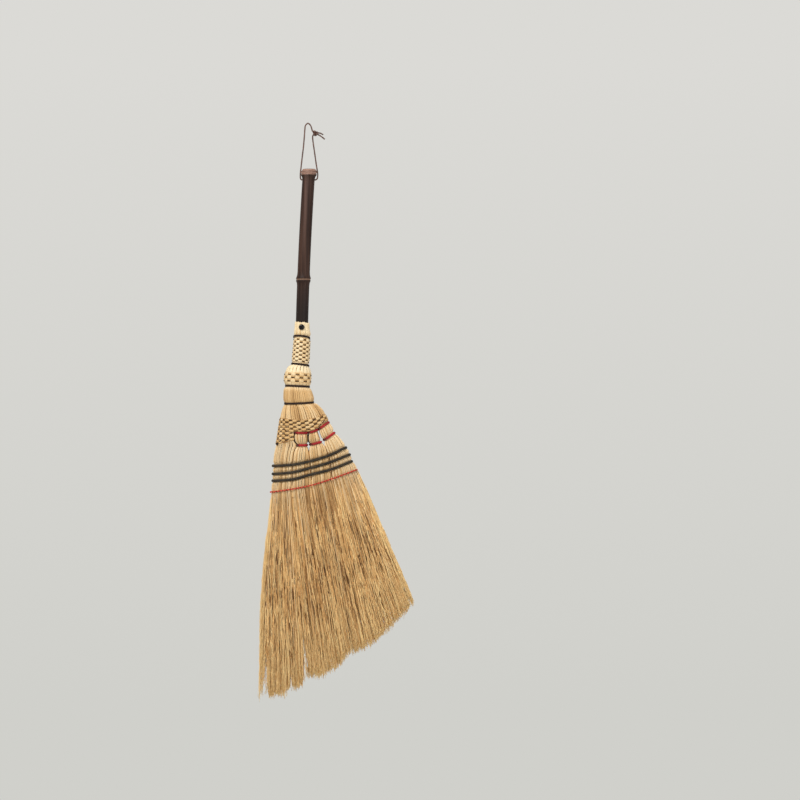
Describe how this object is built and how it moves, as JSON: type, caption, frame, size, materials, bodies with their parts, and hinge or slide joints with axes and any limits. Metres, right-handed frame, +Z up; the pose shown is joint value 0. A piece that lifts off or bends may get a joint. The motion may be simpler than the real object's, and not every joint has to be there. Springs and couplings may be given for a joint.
{
  "type": "straw broom",
  "caption": "Hand-tied fan of straw bound on a bamboo handle with cord bindings and stitched rows, hung by a knotted leather loop.",
  "frame": {"origin": "inside of the leather loop's top, where a hook carries the broom", "axes": "+Z up along the hanging broom, +Y through the flat fan from its front to its back, +X across the fan towards its long lower corner"},
  "size_m": [0.2321, 0.0374, 0.8639],
  "materials": {
    "thong": "brown leather thong, waxed",
    "bamboo": "dark stained bamboo, satin",
    "peg": "black lacquered peg, glossy",
    "straw": "pale peeled straw stalks, satin",
    "weave": "straw stalks woven with dark thread",
    "bristle": "natural straw fibres, matte",
    "black_cord": "black waxed cord",
    "navy_cord": "blue-black cotton cord",
    "red_cord": "deep red cotton cord",
    "red_stitch": "red stitching thread"
  },
  "bodies": {
    "loop": {"loop_leg_left": "thong", "loop_leg_right": "thong", "loop_knot": "thong", "loop_tail_short": "thong", "loop_tail_long": "thong"},
    "broom": {"handle": "bamboo", "handle_peg": "peg", "neck_stalks": "straw", "neck_weave": "weave", "bulge_weave": "weave", "shoulder_weave": "weave", "weave_knot": "black_cord", "neck_binding_1": "black_cord", "neck_binding_2": "black_cord", "neck_binding_3": "black_cord", "neck_binding_4": "black_cord", "stalks_left_1": "straw", "stalks_left_2": "straw", "stalks_a": "straw", "stalks_b": "straw", "stalks_c": "straw", "bristles_left_1": "bristle", "bristles_left_2": "bristle", "bristles_a": "bristle", "bristles_b": "bristle", "bristles_c": "bristle", "tie_a_upper": "red_cord", "tie_a_lower": "red_cord", "tie_b_upper": "red_cord", "tie_b_lower": "red_cord", "tie_c_upper": "red_cord", "tie_c_lower": "red_cord", "link_cord_a": "black_cord", "link_cord_b": "black_cord", "link_cord_c": "black_cord", "navy_row_1": "navy_cord", "navy_row_2": "navy_cord", "navy_row_3": "navy_cord", "red_row": "red_stitch"}
  },
  "joints": [
    {"name": "loop_swing", "type": "hinge", "parent": "loop", "child": "broom", "pos_m": [0.00072, 0, -0.084], "axis": [1, 0, 0], "range_deg": [-150, 150]}
  ]
}
